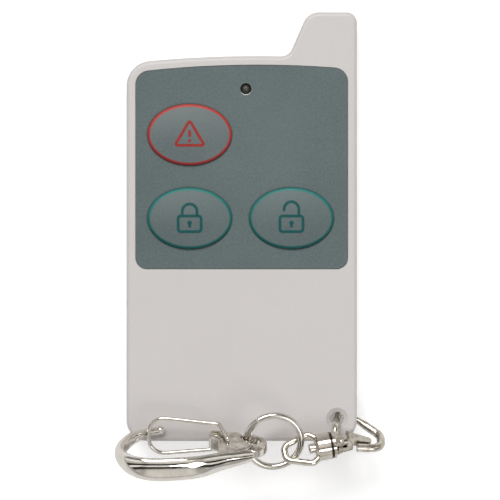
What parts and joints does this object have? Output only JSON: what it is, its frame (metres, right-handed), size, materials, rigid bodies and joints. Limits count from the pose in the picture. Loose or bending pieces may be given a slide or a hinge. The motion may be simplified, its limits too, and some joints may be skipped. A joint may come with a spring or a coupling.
{
  "type": "alarm key fob",
  "caption": "Slim handheld alarm remote with a slate keypad overlay, oval push buttons, an antenna stub and a snap hook, swivel eye, ring and wire-gate clip at its corner.",
  "frame": {"origin": "middle of the flat back of the case, on the back face", "axes": "+Y along the case towards the antenna stub, +Z out of the front face, +X to the right seen from the front"},
  "size_m": [0.0587, 0.1017, 0.0287],
  "materials": {
    "white_case": "fine satin moulding",
    "slate_overlay": "matt printed film",
    "red_button": "matt with a slate top",
    "green_button": "matt with a slate top",
    "lamp": "clear dark lens",
    "board": "solder mask",
    "chip": "moulded epoxy",
    "switch_body": "moulded",
    "switch_plunger": "moulded",
    "nickel": "nickel plate",
    "copper": "enamelled copper wire",
    "spring_steel": "bright zinc plate",
    "plating": "nickel plate on a casting",
    "wire_plating": "nickel plate on wire"
  },
  "bodies": {
    "case": {"front_shell": "white_case", "rear_shell": "white_case", "case_screws": "spring_steel", "keypad_overlay": "slate_overlay", "indicator_lamp": "lamp", "circuit_board": "board", "encoder_chip": "chip", "saw_resonator": "nickel", "rf_transistor": "chip", "antenna_loop": "copper", "coin_cell": "nickel", "cell_clip": "spring_steel", "cell_contact": "spring_steel", "panic_switch": "switch_body", "arm_switch": "switch_body", "disarm_switch": "switch_body"},
    "hook": {"hook_body": "plating", "hook_lever_pin": "plating", "hook_lever_spring": "spring_steel", "swivel_rivet": "plating"},
    "lever": {"hook_lever": "plating"},
    "eye": {"swivel_eye": "plating"},
    "ring": {"jump_ring": "wire_plating"},
    "clip": {"clip_body": "plating"},
    "gate": {"clip_gate": "wire_plating"},
    "panic_key": {"panic_button": "red_button", "panic_plunger": "switch_plunger"},
    "arm_key": {"arm_button": "green_button", "arm_plunger": "switch_plunger"},
    "disarm_key": {"disarm_button": "green_button", "disarm_plunger": "switch_plunger"}
  },
  "joints": [
    {"name": "hook_turn", "type": "hinge", "parent": "case", "child": "hook", "pos_m": [0.0207, -0.0369, 0.0099], "axis": [0, 0, 1], "range_deg": [-35, 35]},
    {"name": "lever_swing", "type": "hinge", "parent": "hook", "child": "lever", "pos_m": [0.02138, -0.04307, 0.01584], "axis": [0.1243, 0.7801, 0.6132], "range_deg": [0, 14], "stiffness_Nm_per_rad": 0.0002, "springref_deg": -5.73},
    {"name": "swivel_turn", "type": "hinge", "parent": "hook", "child": "eye", "pos_m": [0.0194, -0.04265, 0.0151], "axis": [0.9799, 0.1728, -0.0995], "range_deg": [0, 40]},
    {"name": "ring_swing", "type": "hinge", "parent": "eye", "child": "ring", "pos_m": [0.0116, -0.0436, 0.01601], "axis": [0.4161, 0.8595, 0.297], "range_deg": [0, 20]},
    {"name": "clip_swing", "type": "hinge", "parent": "ring", "child": "clip", "pos_m": [0.001, -0.04196, 0.01771], "axis": [0, 0.9304, 0.3665], "range_deg": [0, 35]},
    {"name": "gate_swing", "type": "hinge", "parent": "clip", "child": "gate", "pos_m": [-0.00304, -0.04344, 0.01926], "axis": [0, 0.866, 0.5], "range_deg": [0, 20], "stiffness_Nm_per_rad": 0.0002, "springref_deg": -5.73},
    {"name": "panic_press", "type": "slide", "parent": "case", "child": "panic_key", "axis": [0, 0, -1], "range_m": [0, 0.0003], "stiffness_N_per_m": 400, "springref_m": -0.0005},
    {"name": "arm_press", "type": "slide", "parent": "case", "child": "arm_key", "axis": [0, 0, -1], "range_m": [0, 0.0003], "stiffness_N_per_m": 400, "springref_m": -0.0005},
    {"name": "disarm_press", "type": "slide", "parent": "case", "child": "disarm_key", "axis": [0, 0, -1], "range_m": [0, 0.0003], "stiffness_N_per_m": 400, "springref_m": -0.0005}
  ]
}
